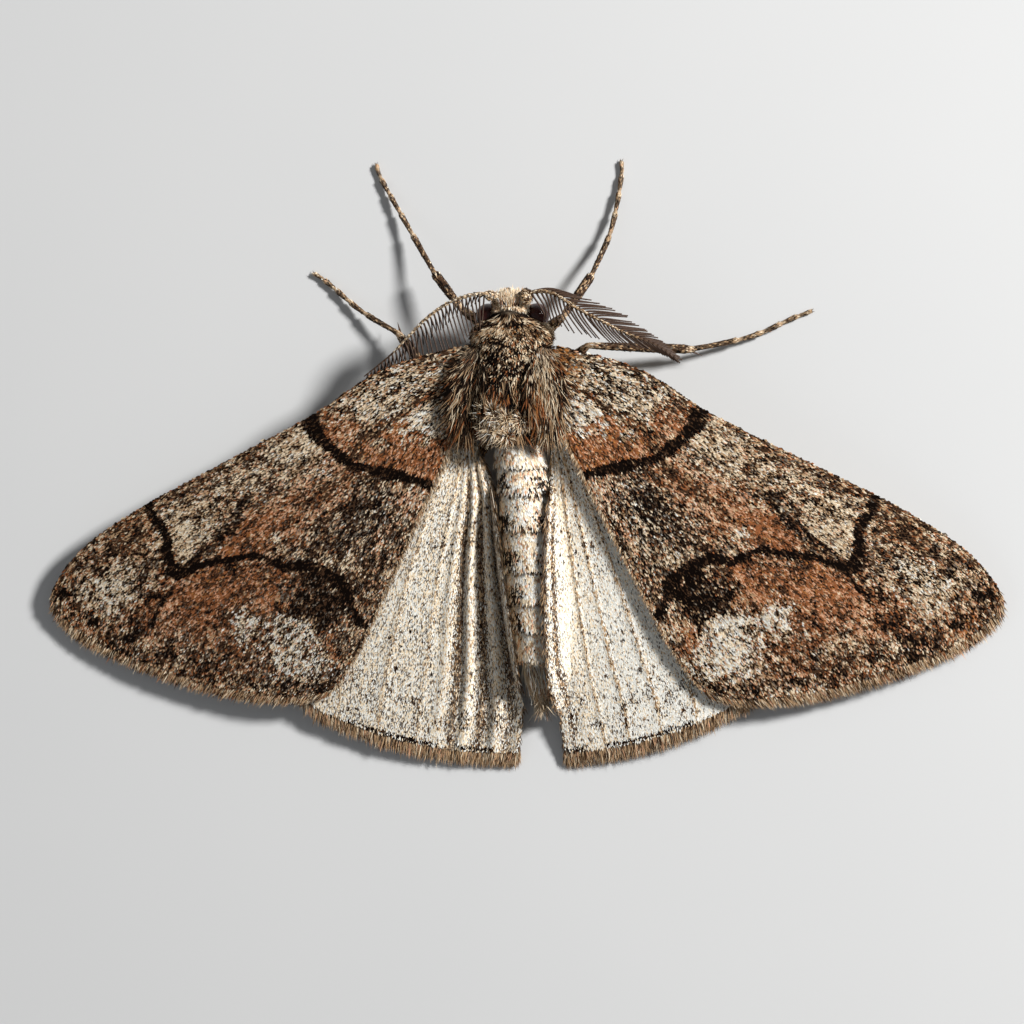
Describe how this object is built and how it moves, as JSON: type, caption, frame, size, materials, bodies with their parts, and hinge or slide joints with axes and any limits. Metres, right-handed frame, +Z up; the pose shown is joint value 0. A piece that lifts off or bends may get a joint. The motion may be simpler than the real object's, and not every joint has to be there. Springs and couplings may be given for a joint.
{
  "type": "looper moth",
  "caption": "Still life-size male looper moth resting flat with wings spread, feathered antennae and banded legs.",
  "frame": {"origin": "on the floor, below the middle of the whole moth's box", "axes": "+Y towards the head, +X towards the moth's right wing, +Z up"},
  "size_m": [0.0406, 0.0255, 0.0048],
  "materials": {
    "head": "matt cream-tan hair-scales",
    "thorax": "shaggy black-brown and cream hair-scales",
    "abdomen": "pale cream scales with dark specks",
    "forewing": "flat overlapping scales, grey-brown and rust with black lines",
    "hindwing": "flat overlapping scales, whitish grey with fine specks",
    "leg": "close dark brown scales with cream bands",
    "antenna": "dull brown horn-like skin",
    "eye": "glossy, finely faceted"
  },
  "bodies": {
    "root": {"abdomen_1": "abdomen", "abdomen_2": "abdomen", "abdomen_3": "abdomen", "abdomen_4": "abdomen", "abdomen_5": "abdomen", "abdomen_6": "abdomen", "abdomen_7": "abdomen", "antenna_left": "antenna", "antenna_right": "antenna", "collar": "thorax", "eye_left": "eye", "eye_right": "eye", "forewing_left": "forewing", "forewing_right": "forewing", "head": "head", "hindwing_left": "hindwing", "hindwing_right": "hindwing", "leg_front_left_coxa": "leg", "leg_front_left_femur": "leg", "leg_front_left_tarsus": "leg", "leg_front_left_tibia": "leg", "leg_front_right_coxa": "leg", "leg_front_right_femur": "leg", "leg_front_right_tarsus": "leg", "leg_front_right_tibia": "leg", "leg_hind_left_coxa": "leg", "leg_hind_left_femur": "leg", "leg_hind_left_tarsus": "leg", "leg_hind_left_tibia": "leg", "leg_hind_right_coxa": "leg", "leg_hind_right_femur": "leg", "leg_hind_right_tarsus": "leg", "leg_hind_right_tibia": "leg", "leg_middle_left_coxa": "leg", "leg_middle_left_femur": "leg", "leg_middle_left_tarsus": "leg", "leg_middle_left_tibia": "leg", "leg_middle_right_coxa": "leg", "leg_middle_right_femur": "leg", "leg_middle_right_tarsus": "leg", "leg_middle_right_tibia": "leg", "palp_left": "head", "palp_right": "head", "tail_tuft": "abdomen", "tegula_left": "thorax", "tegula_right": "thorax", "thorax": "thorax", "thorax_crest": "thorax"}
  },
  "joints": []
}
